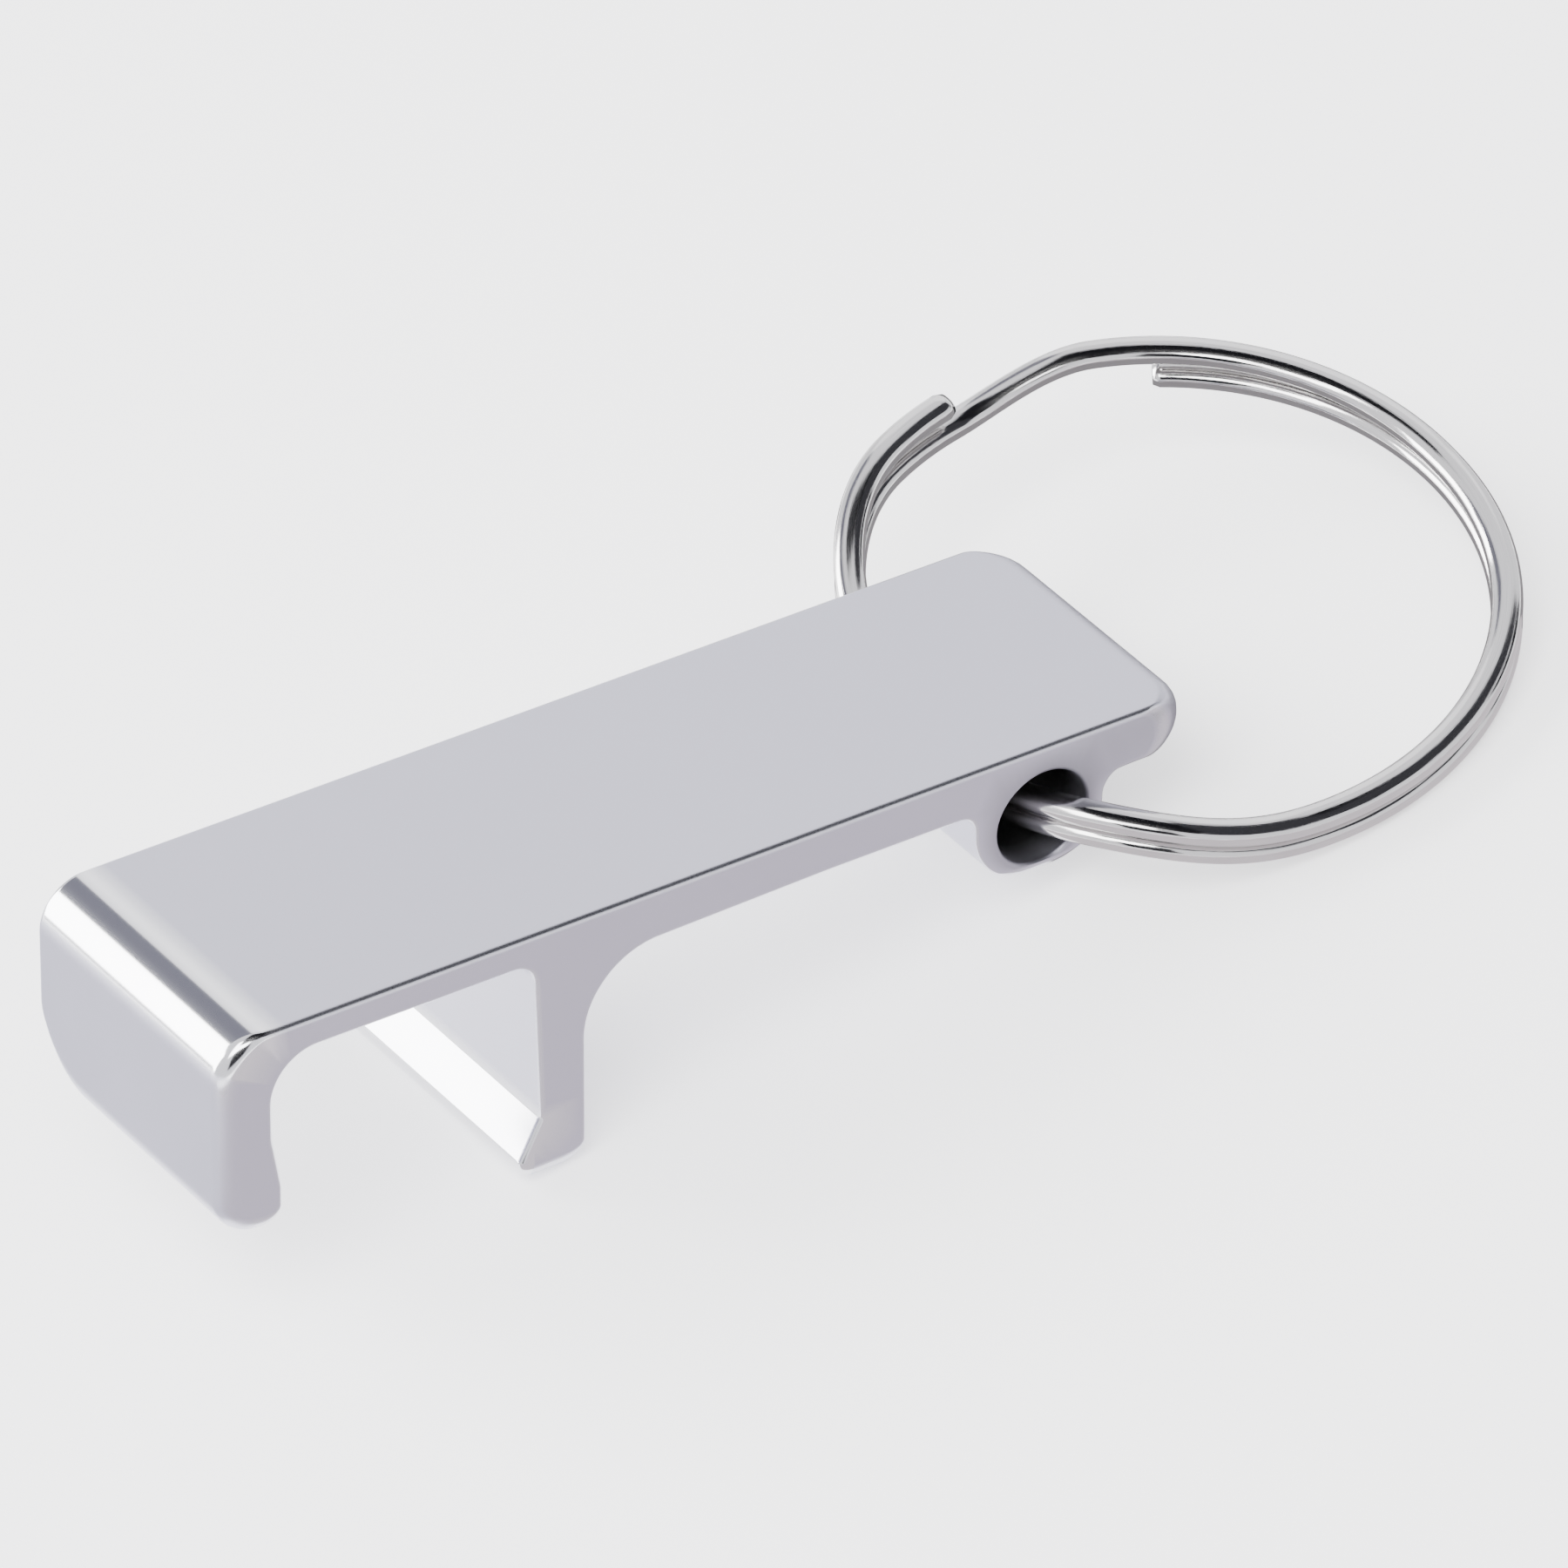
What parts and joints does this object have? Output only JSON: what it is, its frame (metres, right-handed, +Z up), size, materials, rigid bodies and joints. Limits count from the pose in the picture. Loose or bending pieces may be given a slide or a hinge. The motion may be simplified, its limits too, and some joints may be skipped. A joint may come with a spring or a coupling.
{
  "type": "keychain bottle opener",
  "caption": "Flat aluminium bar with a front lip and a claw leg that lever off crown caps, hung on a split key ring through an eye at its rear.",
  "frame": {"origin": "on the surface the object rests on, under the middle of its box", "axes": "+X from the opener's front lip towards its ring, +Y across the bar, +Z up"},
  "size_m": [0.0704, 0.031, 0.0153],
  "materials": {
    "satin_aluminium": "satin, with polished front edge",
    "bright_nickel": "bright nickel plate"
  },
  "bodies": {
    "bar": {"opener_body": "satin_aluminium"},
    "ring": {"split_ring": "bright_nickel"}
  },
  "joints": [
    {"name": "ring_swing", "type": "hinge", "parent": "bar", "child": "ring", "pos_m": [0.00695, -0.00127, 0.00438], "axis": [0, -1, 0], "range_deg": [-159, 155]}
  ]
}
